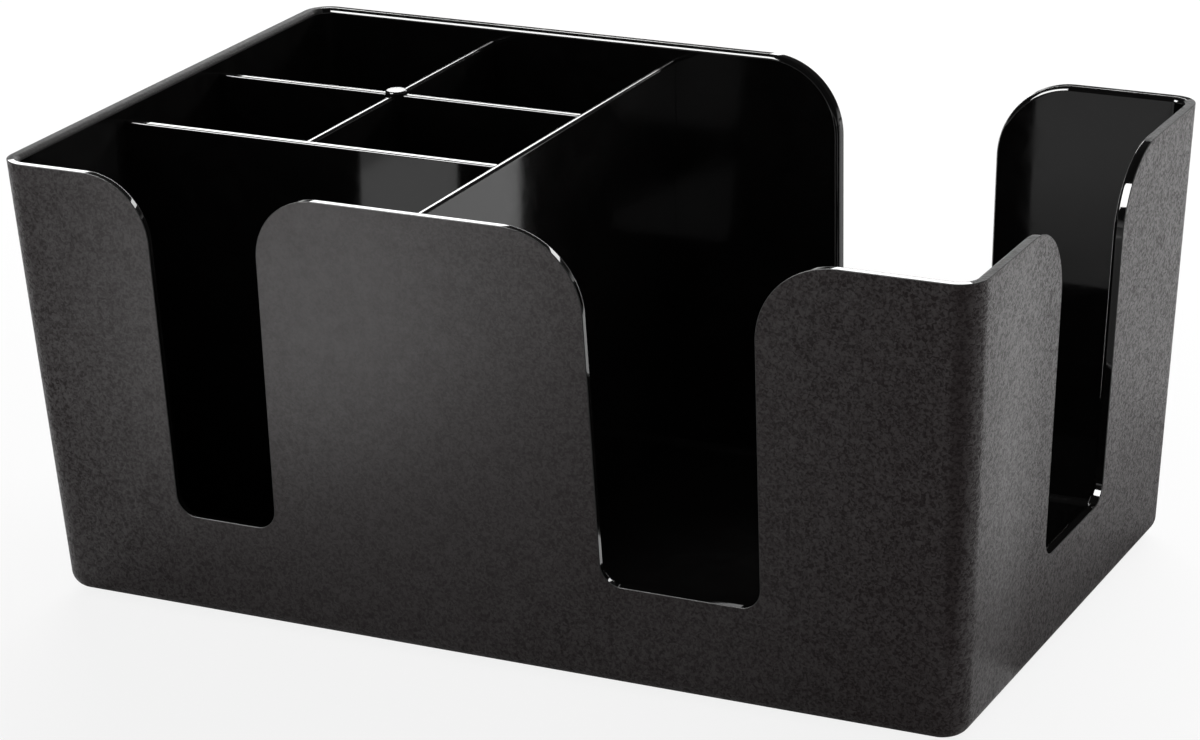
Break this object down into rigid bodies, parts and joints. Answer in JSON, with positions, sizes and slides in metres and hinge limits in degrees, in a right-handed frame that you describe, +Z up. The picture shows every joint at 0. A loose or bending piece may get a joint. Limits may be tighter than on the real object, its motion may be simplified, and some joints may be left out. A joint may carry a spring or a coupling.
{
  "type": "bar caddy",
  "caption": "Open rectangular bar caddy with drafted walls, open-topped cut-outs for napkins and straws, and low crossing dividers that make a grid of compartments.",
  "frame": {"origin": "middle of the footprint, on the surface that the four feet stand on", "axes": "+X along the length towards the napkin bay's open end, +Y from the front wall with two cut-outs to the back wall, +Z up"},
  "size_m": [0.241, 0.149, 0.1088],
  "materials": {
    "tub": "fine leather grain outside, gloss inside and on the rim",
    "divider": "gloss",
    "foot": "matt"
  },
  "bodies": {
    "root": {"tub": "tub", "napkin_partition": "divider", "straw_divider": "divider", "rear_divider": "divider", "centre_divider": "divider", "foot_front_left": "foot", "foot_front_right": "foot", "foot_back_left": "foot", "foot_back_right": "foot"}
  },
  "joints": []
}
